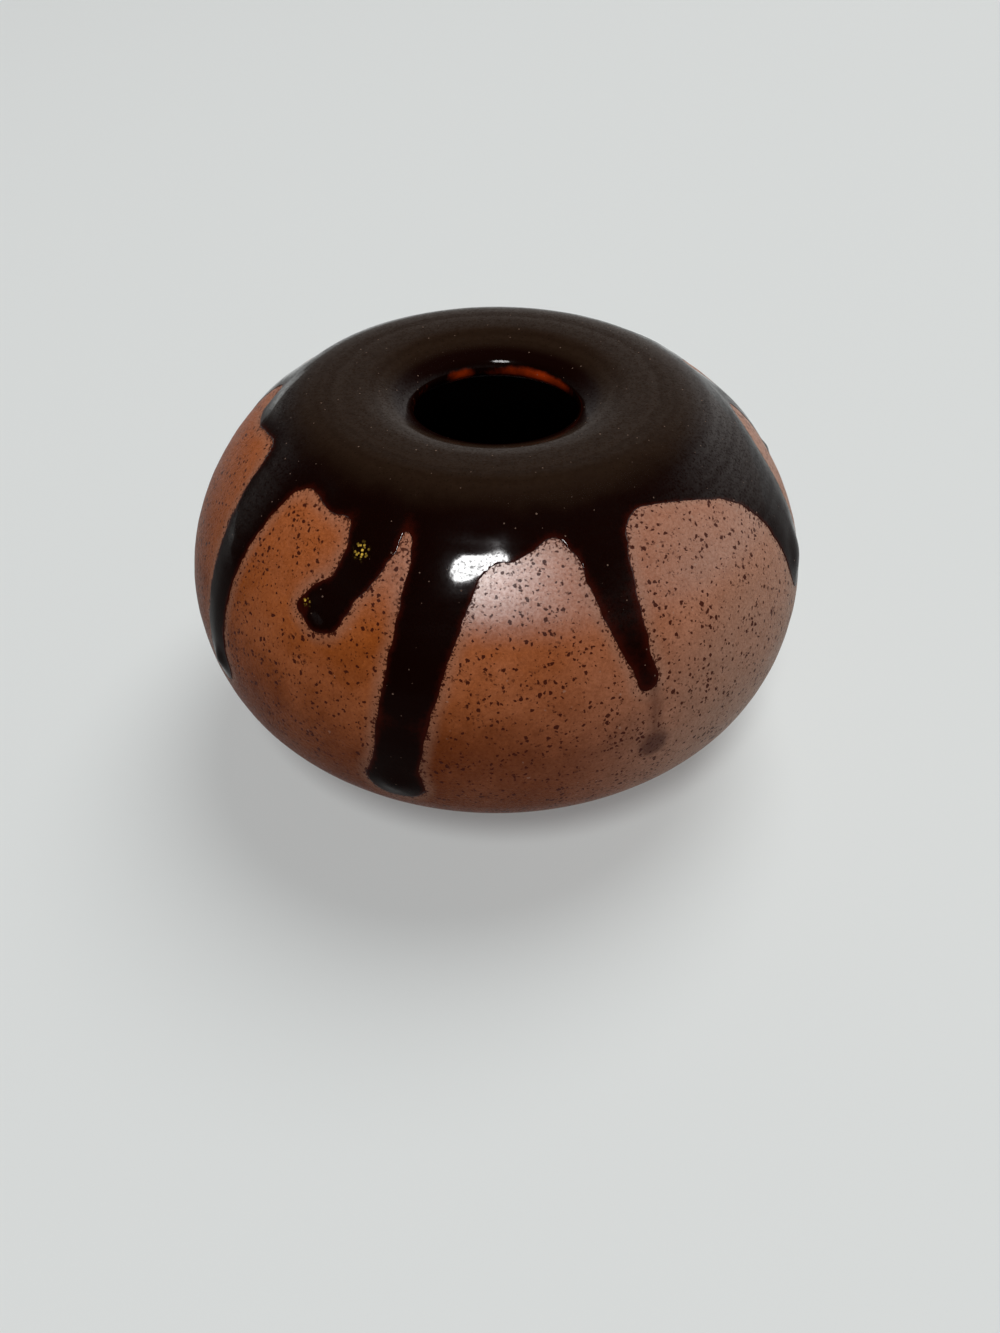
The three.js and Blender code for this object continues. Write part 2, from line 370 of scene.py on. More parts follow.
def cut_along(bm, layer, level):
    """Adds a line of edges where a vertex value passes a level."""
    crossings = []
    for edge in list(bm.edges):
        first, second = edge.verts
        before = first[layer] - level
        after = second[layer] - level
        if before * after < 0:
            vert = bmesh.utils.edge_split(edge, first, before / (before - after))[1]
            vert[layer] = level
            crossings.append(vert)
    bmesh.ops.connect_verts(bm, verts=crossings)


def make_piece(bm, name, material, node):
    """Turns a bmesh into a smooth piece that stands for a node of the frame."""
    mesh = bpy.data.meshes.new(name)
    bm.to_mesh(mesh)
    bm.free()
    mesh.shade_smooth()
    mesh.materials.append(material)
    piece = bpy.data.objects.new(name, mesh)
    bpy.context.scene.collection.objects.link(piece)
    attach(piece, "root")
    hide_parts(node)


class Value:
    """A shader socket in Python arithmetic: each operator adds a Math node."""

    def __init__(self, nodes, socket):
        self.nodes = nodes
        self.socket = socket

    def output(self, name):
        """Another output of the same node."""
        return Value(self.nodes, self.socket.node.outputs[name])

    def math(self, operation, first, second):
        """Adds one Math node."""
        return self.nodes.node("ShaderNodeMath", {"operation": operation}, {0: first, 1: second})

    def larger(self, other):
        """The larger of two values."""
        return self.math("MAXIMUM", self, other)

    def __add__(self, other):
        return self.math("ADD", self, other)

    def __radd__(self, other):
        return self.math("ADD", other, self)

    def __sub__(self, other):
        return self.math("SUBTRACT", self, other)

    def __rsub__(self, other):
        return self.math("SUBTRACT", other, self)

    def __mul__(self, other):
        return self.math("MULTIPLY", self, other)

    def __rmul__(self, other):
        return self.math("MULTIPLY", other, self)


class Nodes:
    """A node tree that is written one node at a time."""

    def __init__(self, tree):
        self.tree = tree

    def node(self, kind, settings=None, sockets=None, output=0):
        """Adds a node, sets it up, feeds its sockets and gives one output."""
        made = self.tree.nodes.new(kind)
        for name, setting in (settings or {}).items():
            setattr(made, name, setting)
        for name, source in (sockets or {}).items():
            self.feed(made.inputs[name], source)
        return Value(self, made.outputs[output])

    def feed(self, socket, source):
        """Links a value to a socket, or sets the socket to a number, a colour or a vector."""
        if isinstance(source, Value):
            self.tree.links.new(source.socket, socket)
        elif socket.type == "RGBA" and len(source) == 3:
            socket.default_value = (*source, 1)
        else:
            socket.default_value = source

    def mix(self, factor, first, second, blend="MIX"):
        """Mixes two colours."""
        return self.node(
            "ShaderNodeMix",
            {"data_type": "RGBA", "blend_type": blend},
            {0: factor, 6: first, 7: second},
            output=2,
        )

    def between(self, value, low, high, start=0.0, end=1.0):
        """Moves a value's range smoothly, from start at low to end at high."""
        return self.node(
            "ShaderNodeMapRange",
            {"interpolation_type": "SMOOTHSTEP"},
            {"Value": value, "From Min": low, "From Max": high, "To Min": start, "To Max": end},
        )

    def split(self, vector):
        """The parts of a vector: to the right, to the back and up."""
        aside = self.node("ShaderNodeSeparateXYZ", sockets={0: vector}, output="X")
        return aside, aside.output("Y"), aside.output("Z")


class Band(NamedTuple):
    """A smooth change over a stretch: where it starts and ends, and its value at either end."""

    low: float
    high: float
    start: float = 0.0
    end: float = 1.0


class Pattern(NamedTuple):
    """A cloudy pattern: its pitch in metres, how far and how strongly it gets finer, and its contrast."""

    pitch: float
    detail: float = 2.0
    roughness: float = 0.5
    contrast: Band = None


class Spots(NamedTuple):
    """Spots of random sizes: their pitch in metres, the largest as a share of it, and their edge."""

    pitch: float
    largest: float
    edge: Band


class Finish(Nodes):
    """The node tree of one surface, on the piece's own coordinates."""

    def __init__(self, name):
        self.material = bpy.data.materials.new(name)
        self.material.use_nodes = True
        super().__init__(self.material.node_tree)
        self.shader = self.tree.nodes["Principled BSDF"]
        self.place = self.node("ShaderNodeTexCoord", output="Object")

    def set(self, sockets):
        """Feeds the surface's own sockets."""
        for name, source in sockets.items():
            self.feed(self.shader.inputs[name], source)

    def attribute(self, name):
        """A value that the mesh carries."""
        return self.node("ShaderNodeAttribute", {"attribute_name": name}, output="Fac")

    def noise(self, pattern):
        """A cloudy pattern, from 0 to 1 unless its contrast says otherwise."""
        sockets = {
            "Vector": self.place,
            "Scale": 1 / pattern.pitch,
            "Detail": pattern.detail,
            "Roughness": pattern.roughness,
        }
        cloud = self.node("ShaderNodeTexNoise", sockets=sockets)
        return self.between(cloud, *pattern.contrast) if pattern.contrast else cloud

    def cells(self, pitch, place=None):
        """The distance to the nearest of many scattered points, as a share of their pitch in metres."""
        sockets = {"Vector": place or self.place, "Scale": 1 / pitch}
        return self.node("ShaderNodeTexVoronoi", sockets=sockets, output="Distance")

    def spots(self, kind, place=None, crowd=1.0):
        """How much of each place is covered by spots."""
        distance = self.cells(kind.pitch, place)
        tint = self.node("ShaderNodeSeparateColor", sockets={"Color": distance.output("Color")})
        return self.between(distance - tint * (crowd * kind.largest), *kind.edge)

    def bump(self, height, strength, distance, normal=None):
        """A surface normal from a height."""
        sockets = {"Height": height, "Strength": strength, "Distance": distance}
        if normal:
            sockets["Normal"] = normal
        return self.node("ShaderNodeBump", sockets=sockets)


# The speckled glaze's patterns. A bump is a strength and a depth.
CLOUDS = Pattern(12 * MM, 4.0, 0.6, Band(0.32, 0.68))
CLOUD_LIFT = 8 * MM
MOTTLE = Pattern(2.2 * MM, 4.0, 0.65, Band(0.3, 0.7))
MOTTLE_SHARE = 0.3
MOTTLE_TINT = (0.6, 0.52, 0.46)
GRAIN = Pattern(0.45 * MM, 3.0, 0.7, Band(0.3, 0.7))
GRAIN_SHARE = 0.5
GRAIN_TINT = (0.55, 0.48, 0.44)
GRAIN_GLOSS = Band(0.0, 1.0, 1.0, 0.6)
GRAIN_ROUGHNESS = Band(0.0, 1.0, 0.28, 0.42)
GRAIN_BUMP = (0.4, 0.12 * MM)
WANDER = Pattern(0.7 * MM)
WANDER_REACH = 0.9 * MM
CROWD = Pattern(5 * MM, contrast=Band(0.35, 0.65, 0.75, 1.2))
SPECKS = Spots(0.8 * MM, 0.4, Band(-0.05, 0.05, 1.0, 0.0))
SMALL_SPECKS = Spots(0.6 * MM, 0.34, Band(-0.04, 0.06, 0.6, 0.0))
PALE_SPECKS = Spots(2.6 * MM, 0.09, Band(-0.02, 0.03, 0.35, 0.0))
SPECK_SHARE = 0.95
SPECK_MATTNESS = 0.8
SPECK_BUMP = (0.25, 0.05 * MM)
TRAIL_SHARE = 0.75
# Its bands by height, to the right and to the back.
# Painted shade: the belly is darker towards the bottom.
LOW_BELLY_SHADE = Band(30 * MM, 56 * MM, 1.0, 0.0)
# Partly painted sheen: the belly is pinker to the right.
PINK_SHEEN_SIDE = Band(-10 * MM, 42 * MM, 0.0, 0.75)
PINK_CLOUDS = 0.25
# How much of the painted shade low on the belly turns to umber, less on the right.
UMBER_SHADE_SIDE = Band(0 * MM, 40 * MM, 0.52, 0.25)
# Painted light: the belly is paler to the right.
PALE_LIGHT_SIDE = Band(14 * MM, 50 * MM, 0.0, 0.45)
# Painted reflection of the floor: paler low on the right.
FLOOR_REFLECTION_SIDE = Band(8 * MM, 34 * MM, 0.0, 0.4)
# Painted shade: darker on the left.
SHADE_LEFT_SIDE = Band(-30 * MM, -50 * MM, 0.0, 0.5)
SHEEN_HEIGHT = Band(47 * MM, 52 * MM, 0.03, 1.0)
SHEEN_FRONT = Band(-12 * MM, -36 * MM, 0.3, 1.0)
SHEEN_SIDE = Band(-12 * MM, -1 * MM, 0.3, 1.0)
# Beside the dark glaze, by the distance from it in millimetres.
HALO = Band(0.2, 2.4, 0.28, 0.0)
BRISTLE = Pattern(0.38 * MM, contrast=Band(0.32, 0.68))
BRISTLE_FADE = 0.85
FRINGE = Band(0.3, 0.55, 0.0, 0.85)


def speckled_finish(colours):
    """The semi-gloss tan glaze with iron specks. Shade is painted darker towards the bottom and on the left,
    and light is painted paler and pinker to the right.
    """
    finish = Finish("speckled_glaze")
    aside, back, height = finish.split(finish.place)
    rim = finish.attribute("rim")
    clouds = finish.noise(CLOUDS)
    grain = finish.noise(GRAIN)

    # Painted shade: darker towards the bottom of the belly, in umber, less so on the right.
    low = finish.between(height + clouds * CLOUD_LIFT, *LOW_BELLY_SHADE)
    # Pinker to the right: partly the glaze's own tone, partly painted sheen.
    pink_and_sheen = finish.between(aside, *PINK_SHEEN_SIDE) + clouds * PINK_CLOUDS
    umber = low * finish.between(aside, *UMBER_SHADE_SIDE)
    # Painted light and a painted reflection of the floor: paler to the right and low on the right.
    painted_light = finish.between(aside, *PALE_LIGHT_SIDE) + low * finish.between(aside, *FLOOR_REFLECTION_SIDE)
    tone = finish.mix(low, colours.ochre, colours.umber)
    tone = finish.mix(pink_and_sheen, tone, finish.mix(umber, colours.tan, colours.umber))
    tone = finish.mix(painted_light, tone, colours.ash)
    # Painted shade: the left side is darkened towards umber.
    tone = finish.mix(finish.between(aside, *SHADE_LEFT_SIDE), tone, colours.umber)
    tone = finish.mix(finish.between(rim, *HALO), tone, colours.ash)
    tone = finish.mix(finish.noise(MOTTLE) * MOTTLE_SHARE, tone, MOTTLE_TINT, "MULTIPLY")
    tone = finish.mix(grain * GRAIN_SHARE, tone, GRAIN_TINT, "MULTIPLY")

    warped = finish.node(
        "ShaderNodeVectorMath",
        {"operation": "MULTIPLY_ADD"},
        {0: finish.noise(WANDER).output("Color"), 1: (WANDER_REACH,) * 3, 2: finish.place},
    )
    crowd = finish.noise(CROWD)
    specks = finish.spots(SPECKS, warped, crowd).larger(finish.spots(SMALL_SPECKS, warped, crowd))
    fringe = finish.between(finish.noise(BRISTLE) - rim * BRISTLE_FADE, *FRINGE)
    tone = finish.mix(finish.spots(PALE_SPECKS, warped), tone, colours.ash)
    tone = finish.mix(specks * SPECK_SHARE, tone, colours.iron)
    tone = finish.mix(fringe, tone, colours.russet)
    tone = finish.mix(finish.attribute("trail") * TRAIL_SHARE, tone, colours.russet)

    facing = finish.between(back, *SHEEN_FRONT) * finish.between(aside, *SHEEN_SIDE)
    gloss = finish.between(height, *SHEEN_HEIGHT) * facing * finish.between(grain, *GRAIN_GLOSS)
    gloss = gloss * (1 - specks * SPECK_MATTNESS) * (1 - fringe)
    finish.set({
        "Base Color": tone,
        "Roughness": finish.between(grain, *GRAIN_ROUGHNESS),
        "Specular IOR Level": 0.02,
        "Coat Weight": gloss,
        "Coat Roughness": 0.44,
        "Coat IOR": 2.9,
        "Normal": finish.bump(specks, *SPECK_BUMP, finish.bump(grain, *GRAIN_BUMP)),
    })
    return finish.material


# The dark glaze's patterns.
NOISE_MIDDLE = 0.5
DARK_CLOUDS = Pattern(4 * MM, 4.0, 0.6)
DARK_ROUGHNESS = Band(0.4, 0.65, 0.12, 0.3)
STREAKS = Pattern(0.9 * MM, 3.0, 0.6)
RINGS_TO_MM = 0.6
RING_DETAIL = 3.0
RING_WAVER = 2.0
SMEARS = Band(0.4, 0.62, 0.0, 0.5)
SMEAR_TINT = (0.62, 0.56, 0.52)
SMEAR_GLOSS = Band(0.38, 0.62, 1.15, 0.7)
FLECKS = Spots(0.5 * MM, 0.3, Band(-0.05, 0.05, 0.5, 0.0))
FLECK_TINT = (0.35, 0.32, 0.3)
# Grains of the painted gold glints.
GLINT_GRAINS = Band(0.26, 0.5, 1.0, 0.0)
# Pinholes, painted pale as small sparkles of light.
PINHOLE_SPARKLES = Spots(1.4 * MM, 0.1, Band(-0.02, 0.02, 0.35, 0.0))
PINHOLE_BUMP = (0.3, 0.06 * MM)
SPARKLE = Pattern(0.35 * MM, contrast=Band(0.3, 0.55, 0.25, 1.0))
PEEL = Pattern(0.5 * MM, 3.0, 0.6)
PEEL_BUMP = (0.18, 0.08 * MM)
RUSSET = Band(0.2, 1.0, 0.0, 0.8)
RUSSET_STREAKS = 0.7
# The amber break, painted bright as a glow.
AMBER = Band(0.3, 1.2)
AMBER_CLOUDS = 1.2
# Its bands by reach.
CREST_WAVER = 4.0
# The olive crest band is partly a painted sheen.
CREST_END = Band(3.5, 10.5, 1.0, 0.0)
CREST_START = Band(-11.0, -8.5)
CAP_GLOSS = Band(3.0, 10.0, 0.28, 0.95)
RUN_GLOSS = Band(15.0, 28.0, 1.0, 0.01)
LIP_GLOSS = Band(-14.4, -13.4)
# By the distance inside its edge in millimetres, which counts as more away from the left.
EDGE_GLOSS = Band(0.3, 3.5, 0.14, 1.0)
LEFT_SIDE = Band(-30 * MM, -15 * MM, 0.0, 3.0)
RIGHT_GLOSS = Band(20 * MM, 42 * MM, 1.0, 0.3)


def dark_finish(colours):
    """The glossy dark glaze, russet where it thins and amber where it breaks on the lip. The amber is
    painted bright as a glow, the crest's olive is partly painted sheen, and gold grains and pale pinholes
    are painted glints and sparkles.
    """
    finish = Finish("dark_glaze")
    aside = finish.split(finish.place)[0]
    reach = finish.attribute("reach")
    clouds = finish.noise(DARK_CLOUDS)
    streaks = finish.noise(STREAKS)
    rings = finish.node(
        "ShaderNodeTexNoise",
        {"noise_dimensions": "1D"},
        {"W": reach + clouds * RING_WAVER, "Scale": RINGS_TO_MM, "Detail": RING_DETAIL},
    )
    smear = rings * 0.5 + streaks * 0.5
    pinhole_sparkles = finish.spots(PINHOLE_SPARKLES)

    # Olive on the crest: partly the glaze's own colour, partly a painted sheen.
    crest = finish.between(reach + clouds * CREST_WAVER, *CREST_END) * finish.between(reach, *CREST_START)
    russet = finish.attribute("thin") + (streaks - NOISE_MIDDLE) * RUSSET_STREAKS
    amber = finish.attribute("lip") + (clouds - NOISE_MIDDLE) * AMBER_CLOUDS
    # Painted glints: small crops of gold crystal grains, painted bright as glints of light.
    gold = finish.attribute("crystal_glint") * finish.between(finish.cells(FLECKS.pitch), *GLINT_GRAINS)
    tone = finish.mix(crest, colours.dark, colours.olive)
    tone = finish.mix(finish.between(smear, *SMEARS) * crest, tone, SMEAR_TINT, "MULTIPLY")
    tone = finish.mix(finish.spots(FLECKS) * crest, tone, FLECK_TINT, "MULTIPLY")
    tone = finish.mix(finish.between(russet, *RUSSET), tone, colours.russet)
    # Amber on the lip: a real break of the glaze, painted bright as a glow of light.
    tone = finish.mix(finish.between(amber, *AMBER), tone, colours.amber)
    tone = finish.mix(gold, tone, colours.gold)
    # Painted sparkles: the pinholes are painted pale.
    tone = finish.mix(pinhole_sparkles, tone, colours.ash)

    inside = finish.attribute("depth") + finish.between(aside, *LEFT_SIDE)
    gloss = finish.between(reach, *CAP_GLOSS) * finish.between(reach, *RUN_GLOSS)
    gloss = gloss * finish.between(inside, *EDGE_GLOSS) * finish.between(reach, *LIP_GLOSS)
    gloss = gloss * finish.noise(SPARKLE) * finish.between(aside, *RIGHT_GLOSS)
    gloss = gloss * finish.between(smear, *SMEAR_GLOSS)
    peel = finish.bump(finish.noise(PEEL), *PEEL_BUMP)
    finish.set({
        "Base Color": tone,
        "Roughness": finish.between(clouds, *DARK_ROUGHNESS),
        "Specular IOR Level": 0.01,
        "Coat Weight": gloss,
        "Coat Roughness": 0.08,
        "Coat IOR": 1.7,
        "Normal": finish.bump(1 - pinhole_sparkles, *PINHOLE_BUMP, peel),
    })
    return finish.material


GROG = Pattern(0.6 * MM, 4.0, 0.65, Band(0.35, 0.7))
GROG_SHARE = 0.5
GROG_TINT = (0.62, 0.5, 0.42)
GROG_BUMP = (0.4, 0.15 * MM)
CLAY_SPECKS = Spots(1.6 * MM, 0.2, Band(-0.02, 0.05, 0.8, 0.0))


def clay_finish(colours):
    """The bare clay of the foot, with grog and a few iron specks."""
    finish = Finish("stoneware")
    grog = finish.noise(GROG)
    tone = finish.mix(grog * GROG_SHARE, colours.clay, GROG_TINT, "MULTIPLY")
    tone = finish.mix(finish.spots(CLAY_SPECKS), tone, colours.iron)
    finish.set({"Base Color": tone, "Roughness": 0.86, "Normal": finish.bump(grog, *GROG_BUMP)})
    return finish.material


LINER_CLOUDS = Pattern(9 * MM, 3.0, contrast=Band(0.35, 0.7))
LINER_TINT = (0.5, 0.45, 0.45)
LINER_PEEL = Pattern(1.1 * MM, 3.0)
LINER_BUMP = (0.1, 0.1 * MM)


def liner_finish(colours):
    """The plain dark glaze inside."""
    finish = Finish("liner_glaze")
    finish.set({
        "Base Color": finish.mix(finish.noise(LINER_CLOUDS), colours.liner, LINER_TINT, "MULTIPLY"),
        "Roughness": 0.22,
        "Normal": finish.bump(finish.noise(LINER_PEEL), *LINER_BUMP),
    })
    return finish.material


def table_finish(colours):
    """The plain matt floor, a little paler where it is seen than where it lights the pot."""
    finish = Finish("table")
    camera = finish.node("ShaderNodeLightPath", output="Is Camera Ray")
    seen = camera.larger(camera.output("Is Glossy Ray")).larger(camera.output("Is Transmission Ray"))
    finish.set({
        "Base Color": colours.table,
        "Roughness": 0.7,
        "Emission Color": finish.mix(seen, (0, 0, 0), (1, 1, 1)),
        "Emission Strength": 0.2,
    })
    return finish.material


class Lamp(NamedTuple):
    """A round softbox: its place and size in metres, its power in watts, and whether gloss shows it."""

    name: str
    place: tuple
    size: float
    power: float
    mirrored: bool


class WEEDPOT_OT_stage(bpy.types.Operator):
    """Sets the camera, the floor, the lamps and the world."""

    bl_idname = "weed_pot.stage"
    bl_label = "Stage"

    LENS = 28.087
    SENSOR_WIDTH = 36.0
    NEAREST = 0.005
    CAMERA_PLACE = (0.63 * MM, -150.9 * MM, 139.35 * MM)
    CAMERA_TILT = math.radians(47.812)
    FLOOR_RADIUS = 2.5
    FLOOR_SIDES = 96
    LAMPS = (
        Lamp("ceiling_spot", (-0.32, -2.1, 3.5), 1.15, 75.0, True),
        Lamp("skylight", (0.95, 1.5, 3.3), 2.6, 80.0, False),
    )
    GLOW_COLOUR = (1.0, 0.96, 0.92)
    GLOW_BACK = Band(-0.4, 0.9, 0.22, 0.84)
    GLOW_SIDE = Band(-0.7, 0.4, 0.15, 0.8)
    GLOW_HEIGHT = Band(0.2, 0.75, 1.0, 0.06)

    def execute(self, context):
        scene = context.scene
        scene.view_settings.view_transform = "Standard"
        self.camera(scene)
        self.floor(scene)
        for lamp in self.LAMPS:
            self.hang(scene, lamp)
        self.sky(scene)
        return {"FINISHED"}

    def camera(self, scene):
        """Stands the camera in front of the pot and a little above it."""
        camera = bpy.data.cameras.new("camera")
        camera.lens = self.LENS
        camera.sensor_width = self.SENSOR_WIDTH
        camera.clip_start = self.NEAREST
        view = bpy.data.objects.new("camera", camera)
        view.location = self.CAMERA_PLACE
        view.rotation_euler = (self.CAMERA_TILT, 0, 0)
        scene.collection.objects.link(view)
        scene.camera = view

    def floor(self, scene):
        """Lays a round floor under the pot."""
        bm = bmesh.new()
        bmesh.ops.create_circle(bm, cap_ends=True, segments=self.FLOOR_SIDES, radius=self.FLOOR_RADIUS)
        mesh = bpy.data.meshes.new("table")
        bm.to_mesh(mesh)
        bm.free()
        mesh.materials.append(table_finish(scene.weed_pot_colours))
        table = bpy.data.objects.new("table", mesh)
        scene.collection.objects.link(table)

    def hang(self, scene, lamp):
        """Hangs a softbox that faces the pot."""
        light = bpy.data.lights.new(lamp.name, "AREA")
        light.shape = "DISK"
        light.size = lamp.size
        light.energy = lamp.power
        softbox = bpy.data.objects.new(lamp.name, light)
        softbox.location = lamp.place
        softbox.rotation_euler = (-Vector(lamp.place)).to_track_quat("-Z", "Y").to_euler()
        softbox.visible_glossy = lamp.mirrored
        scene.collection.objects.link(softbox)

    def sky(self, scene):
        """Surrounds the stage with a soft glow, brightest low down behind the pot and to its right."""
        world = bpy.data.worlds.new("glow")
        world.use_nodes = True
        scene.world = world
        nodes = Nodes(world.node_tree)
        aside, back, height = nodes.split(nodes.node("ShaderNodeTexCoord", output="Generated"))
        walls = nodes.between(back, *self.GLOW_BACK) * nodes.between(aside, *self.GLOW_SIDE)
        glow = walls * nodes.between(height, *self.GLOW_HEIGHT)
        background = world.node_tree.nodes["Background"]
        nodes.feed(background.inputs["Strength"], glow)
        nodes.feed(background.inputs["Color"], self.GLOW_COLOUR)


class WEEDPOT_OT_clay(bpy.types.Operator):
    """Throws the clay body with its trimmed foot ring and its hollow inside."""

    bl_idname = "weed_pot.clay"
    bl_label = "Clay body"

    STEPS = 144
    ROWS = 96
    FOOT_CHAMFER = 0.8 * MM
    FLOOR_CORNER = 1 * MM

    def execute(self, context):
        sizes = context.scene.weed_pot
        section = Section(sizes)
        floor_top = sizes.foot_recess + sizes.floor
        ring_inside = sizes.foot_radius - sizes.foot_ring
        foot = [
            (0, sizes.foot_recess),
            (ring_inside - sizes.foot_recess, sizes.foot_recess),
            (ring_inside, 0),
            (sizes.foot_radius - self.FOOT_CHAMFER, 0),
            (sizes.foot_radius, self.FOOT_CHAMFER),
        ]
        outer = section.outline(np.linspace(section.foot_end, section.lip_end, self.ROWS), 0)
        inner = section.inside(np.linspace(section.lip_end, section.foot_end, self.ROWS)[1:], 0)
        inner = inner[inner[:, 1] > floor_top]
        floor = [(inner[-1][0] - self.FLOOR_CORNER, floor_top), (0, floor_top)]
        bm = bmesh.new()
        lathe(bm, [*foot, *outer, *inner, *floor], self.STEPS)
        colours = context.scene.weed_pot_colours
        make_piece(bm, "thrown_clay", clay_finish(colours), "stoneware_body")
        return {"FINISHED"}


class WEEDPOT_OT_liner(bpy.types.Operator):
    """Pours the liner glaze over the inside."""

    bl_idname = "weed_pot.liner"
    bl_label = "Liner glaze"

    STEPS = 144
    ROWS = 90
    BACK = 0.05 * MM
    FACE = 0.45 * MM

    def execute(self, context):
        sizes = context.scene.weed_pot
        section = Section(sizes)
        back = self.skin(sizes, section, self.BACK)
        face = self.skin(sizes, section, self.FACE)
        bm = bmesh.new()
        lathe(bm, [*back[::-1], *face], self.STEPS)
        colours = context.scene.weed_pot_colours
        make_piece(bm, "inside_liner", liner_finish(colours), "liner_glaze")
        return {"FINISHED"}

    def skin(self, sizes, section, gap):
        """The inside's outline from the lip to the middle of the floor, a gap away from the clay."""
        floor_top = sizes.foot_recess + sizes.floor + gap
        wall = section.inside(np.linspace(section.lip_end, section.foot_end, self.ROWS)[1:], -gap)
        return [*wall[wall[:, 1] > floor_top], (0, floor_top)]


class WEEDPOT_OT_speckled(bpy.types.Operator):
    """Coats the outside with the speckled glaze, from above the foot to the lip."""

    bl_idname = "weed_pot.speckled"
    bl_label = "Speckled glaze"

    STEPS = 90
    CUTS = 3
    BARE = 2 * MM
    LIP_INSET = 0.3 * MM
    ROW = 1 * MM
    GAP = 0.05 * MM
    STEM_SHARE = 0.6
    STEM_EDGE = (-0.9, 0.6)
    STEM_START = (29, 33)
    DROP_SHARE = 0.4
    DROP_EDGE = (-0.5, 0.7)

    def execute(self, context):
        sizes = context.scene.weed_pot
        section = Section(sizes)
        lowest = section.foot_end - self.BARE
        count = int((lowest - section.lip_end) / self.ROW)
        rows = np.linspace(section.lip_end + self.LIP_INSET, lowest, count)
        out = sizes.coat + throwing_rings(rows / MM) * MM
        back = rows[::-2]
        outline = [*section.outline(rows, out), *section.outline(back, self.GAP)]
        bm = bmesh.new()
        lathe(bm, outline, self.STEPS, True, np.concatenate((rows, back)) / MM, self.CUTS)
        self.mark(bm)
        colours = context.scene.weed_pot_colours
        make_piece(bm, "speckled_coat", speckled_finish(colours), "speckled_glaze")
        return {"FINISHED"}

    def mark(self, bm):
        """Gives each vertex its distance from the dark glaze and its share of the faint trail."""
        rim_layer = bm.verts.layers.float.new("rim")
        trail_layer = bm.verts.layers.float.new("trail")
        azimuth, radius, reach = surface_places(bm, bm.verts)
        rim = -dark_depth(azimuth, radius, reach)
        ribbon, bead = run_depth(TRAIL, azimuth, radius, reach)
        stem = ease(ribbon, *self.STEM_EDGE) * ease(reach, *self.STEM_START)
        trail = self.STEM_SHARE * stem + self.DROP_SHARE * ease(bead, *self.DROP_EDGE)
        for vert, distance, share in zip(bm.verts, rim, trail):
            vert[rim_layer] = distance
            vert[trail_layer] = share


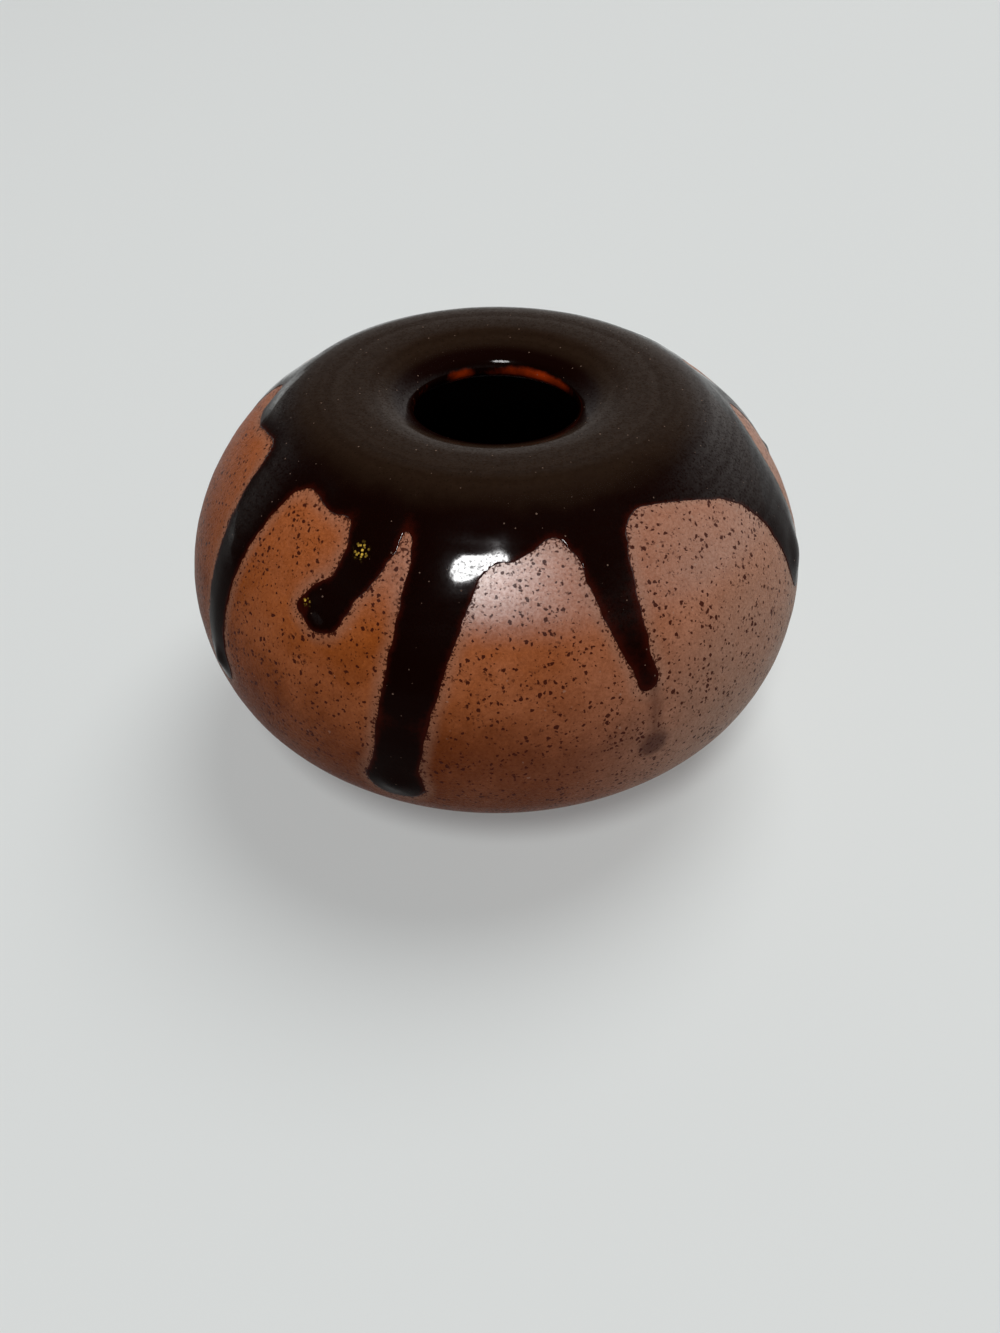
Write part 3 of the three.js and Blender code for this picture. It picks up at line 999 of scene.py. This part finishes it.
class WEEDPOT_OT_dark(bpy.types.Operator):
    """Pours the dark glaze over the lip and the shoulder and lets it run."""

    bl_idname = "weed_pot.dark"
    bl_label = "Dark glaze"

    STEPS = 120
    CUTS = 3
    ROW = 0.6 * MM
    LIP_INSET = 0.6 * MM
    LOWEST = 62 * MM
    # The rest is in millimetres, in bands of reach, or in shares of 1.
    EDGE_STEPS = (0.0, 0.25, 0.8, 1.8)
    NO_DEPTH = 0.001
    SUNK = 0.08
    MENISCUS = 4.5
    LIP_SHARE = 0.35
    CRATER = (-12, -5)
    SHOULDER = (2.5, 12)
    LIP_TAPER = 2
    LIP_EDGE = 0.3
    GROOVE_SHARE = 0.4
    EDGE_FADE = 0.7
    SHEER_EDGE = (-0.5, 0.5)
    SHEER_START = (14, 22)
    NECK_AZIMUTH = -14.6
    NECK_REACH = 37.0
    NECK_LENGTH = 2.2
    NECK_SIDES = (6, 3)
    NECK_DIP = 0.06
    NECK_THIN = 0.3
    GLINT_CORE = 0.3
    LIP_BAND = (-13.7, -12.4)
    LIP_BREAK = 0.35
    # Where the lip breaks to amber most, and where its painted glow is brightest: azimuth and spread in
    # degrees, and share.
    LIP_BREAKS = ((143.0, 24.0, 0.75), (207.0, 10.0, 0.55))

    def execute(self, context):
        sizes = context.scene.weed_pot
        section = Section(sizes)
        start = section.lip_end + self.LIP_INSET
        rows = np.linspace(start, self.LOWEST, int((self.LOWEST - start) / self.ROW))
        bm = bmesh.new()
        lathe(bm, section.outline(rows, 0), self.STEPS, False, rows / MM, self.CUTS)
        layer = bm.verts.layers.float.new("depth")
        for vert, depth in zip(bm.verts, dark_depth(*surface_places(bm, bm.verts))):
            vert[layer] = depth
        for level in self.EDGE_STEPS:
            cut_along(bm, layer, level)
        bare = [face for face in bm.faces if max(vert[layer] for vert in face.verts) < self.NO_DEPTH]
        bmesh.ops.delete(bm, geom=bare, context="FACES")
        self.thicken(bm, sizes, section)
        colours = context.scene.weed_pot_colours
        make_piece(bm, "poured_dark_glaze", dark_finish(colours), "dark_glaze")
        return {"FINISHED"}

    def thicken(self, bm, sizes, section):
        """Raises a second skin over the first by the glaze's thickness and joins the two at the edge."""
        depth_layer = bm.verts.layers.float["depth"]
        thin_layer = bm.verts.layers.float.new("thin")
        lip_layer = bm.verts.layers.float.new("lip")
        crystal_glint_layer = bm.verts.layers.float.new("crystal_glint")
        under = list(bm.verts)
        raised = bmesh.ops.extrude_face_region(bm, geom=list(bm.faces), use_keep_orig=True)["geom"]
        over = [item for item in raised if isinstance(item, bmesh.types.BMVert)]
        for verts, is_top in ((under, False), (over, True)):
            azimuth, radius, reach = surface_places(bm, verts)
            depth = np.array([vert[depth_layer] for vert in verts])
            rise, thin = self.coat(sizes, section, azimuth, radius, reach, depth)
            out = sizes.coat + (rise if is_top else -self.SUNK) * MM
            points = section.place(azimuth, reach * MM, out)
            lip = self.lip_break(azimuth, reach)
            crystal_glint = self.crystal_glints(azimuth, radius, reach)
            for vert, point, *shares in zip(verts, points, thin, lip, crystal_glint):
                vert.co = point
                vert[thin_layer], vert[lip_layer], vert[crystal_glint_layer] = shares
        bmesh.ops.recalc_face_normals(bm, faces=bm.faces)

    def coat(self, sizes, section, azimuth, radius, reach, depth):
        """The glaze's thickness in millimetres, and how thin it looks, from 0 to 1."""
        from_lip = np.maximum(reach - (section.lip_end + self.LIP_INSET) / MM, 0)
        cap = sizes.cap_coat / MM * (self.LIP_SHARE + (1 - self.LIP_SHARE) * ease(reach, *self.CRATER))
        coat = cap + (sizes.run_coat / MM - cap) * ease(reach, *self.SHOULDER)
        sheer_start = ease(reach, *self.SHEER_START)
        sheer = np.zeros_like(reach)
        for run in RUNS:
            ribbon, bead = run_depth(run, azimuth, radius, reach)
            coat = coat + run.swell * ease(bead, 0, run.bead / 2)
            sheer = np.maximum(sheer, run.sheer * ease(ribbon, *self.SHEER_EDGE) * sheer_start)
        neck_aside = turn_between(azimuth, self.NECK_AZIMUTH) * radius
        neck = np.exp(-((reach - self.NECK_REACH) / self.NECK_LENGTH) ** 2)
        neck = neck * ease(np.abs(neck_aside), *self.NECK_SIDES)
        inside = np.minimum(np.maximum(depth, 0), from_lip * self.LIP_TAPER + self.LIP_EDGE)
        crown = np.sin(math.pi / 2 * np.clip(inside / self.MENISCUS, 0, 1))
        rise = (coat - self.NECK_DIP * neck + self.GROOVE_SHARE * throwing_rings(reach)) * crown
        thin = np.exp(-np.maximum(depth, 0) / self.EDGE_FADE) + sheer + self.NECK_THIN * neck
        return rise, np.clip(thin, 0, 1)

    def lip_break(self, azimuth, reach):
        """Each place's share of the amber break on the lip, which is painted bright as a glow."""
        broken = np.full_like(reach, self.LIP_BREAK)
        for centre, spread, share in self.LIP_BREAKS:
            broken += share * np.exp(-(turn_between(azimuth, centre) / math.radians(spread)) ** 2)
        return (1 - ease(reach, *self.LIP_BAND)) * broken

    def crystal_glints(self, azimuth, radius, reach):
        """Each place's share of the small crops of gold crystals, which are painted bright as glints of
        light.
        """
        share = np.zeros_like(reach)
        for centre, along, size in GLINT_CRYSTALS:
            aside = turn_between(azimuth, centre) * radius
            crop = ease(np.hypot(aside, reach - along), size, self.GLINT_CORE * size)
            share = np.maximum(share, crop)
        return share


class WEEDPOT_PT_panel(bpy.types.Panel):
    """Lists the pot's sizes, colours and pieces."""

    bl_idname = "WEEDPOT_PT_panel"
    bl_label = "Weed Pot"
    bl_space_type = "VIEW_3D"
    bl_region_type = "UI"
    bl_category = "Weed Pot"

    def draw(self, context):
        for group in (context.scene.weed_pot, context.scene.weed_pot_colours):
            box = self.layout.box()
            for name in group.__annotations__:
                box.prop(group, name)
        for operator in OPERATORS:
            self.layout.operator(operator.bl_idname)


GROUPS = (WEEDPOT_PG_sizes, WEEDPOT_PG_colours)
OPERATORS = (WEEDPOT_OT_stage, WEEDPOT_OT_clay, WEEDPOT_OT_liner, WEEDPOT_OT_speckled, WEEDPOT_OT_dark)
CLASSES = (*GROUPS, *OPERATORS, WEEDPOT_PT_panel)


def register():
    """Adds the pot's classes and its settings to Blender."""
    for item in CLASSES:
        bpy.utils.register_class(item)
    bpy.types.Scene.weed_pot = bpy.props.PointerProperty(type=WEEDPOT_PG_sizes)
    bpy.types.Scene.weed_pot_colours = bpy.props.PointerProperty(type=WEEDPOT_PG_colours)


def unregister():
    """Takes them out again."""
    del bpy.types.Scene.weed_pot_colours
    del bpy.types.Scene.weed_pot
    for item in reversed(CLASSES):
        bpy.utils.unregister_class(item)


def main():
    """Builds the pot on its stage."""
    register()
    bpy.ops.weed_pot.stage()
    bpy.ops.weed_pot.clay()
    bpy.ops.weed_pot.liner()
    bpy.ops.weed_pot.speckled()
    bpy.ops.weed_pot.dark()


if __name__ == "__main__":
    main()
